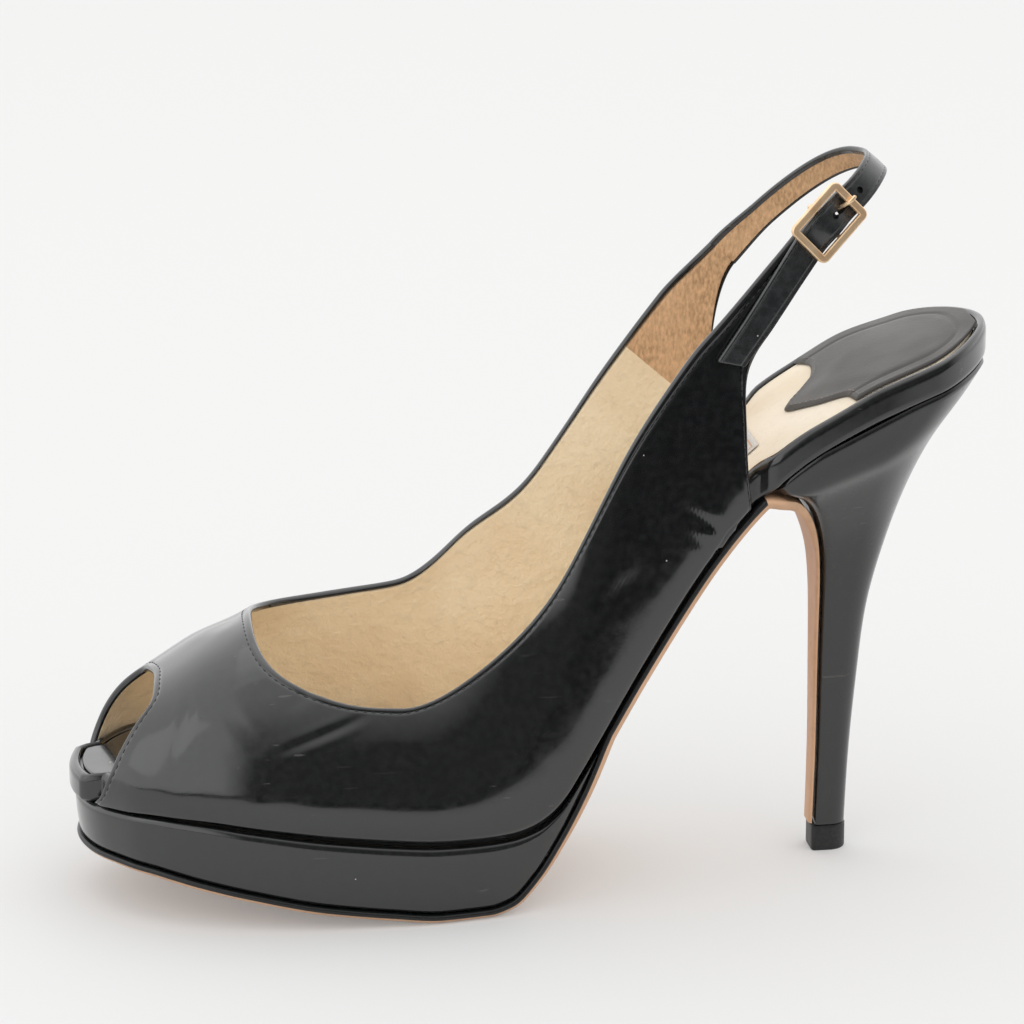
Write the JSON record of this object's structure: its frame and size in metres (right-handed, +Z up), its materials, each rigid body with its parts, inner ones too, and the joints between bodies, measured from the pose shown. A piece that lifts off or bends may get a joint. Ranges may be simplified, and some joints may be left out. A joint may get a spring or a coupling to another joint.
{
  "type": "peep toe pump",
  "caption": "Left platform slingback pump with an open toe, a hollow upper, a buckled strap round the ankle's back and a tall slim heel.",
  "frame": {"origin": "on the floor, under the middle of the flat tread at the ball of the foot", "axes": "-X towards the toe, -Y towards the outer side of the left foot, +Z up"},
  "size_m": [0.2145, 0.0753, 0.17],
  "materials": {
    "outsole": "smooth tan sole leather, black at the edge",
    "platform": "glazed black leather cover",
    "insole": "glazed black leather cover",
    "sock_lining": "matt ivory lining leather",
    "heel_pad": "matt dark leather",
    "label": "plain grey",
    "upper": "glazed black leather, cream lining inside",
    "sling_strap": "glazed black leather, tan suede inside",
    "heel": "glazed black leather cover",
    "heel_tip": "hard black top lift",
    "buckle_frame": "polished pale rose gold plating",
    "buckle_prong": "polished pale rose gold plating"
  },
  "bodies": {
    "root": {"outsole": "outsole", "platform": "platform", "insole": "insole", "sock_lining": "sock_lining", "heel_pad": "heel_pad", "label": "label", "upper": "upper", "sling_strap": "sling_strap", "heel": "heel", "heel_tip": "heel_tip", "buckle_frame": "buckle_frame", "buckle_prong": "buckle_prong"}
  },
  "joints": []
}
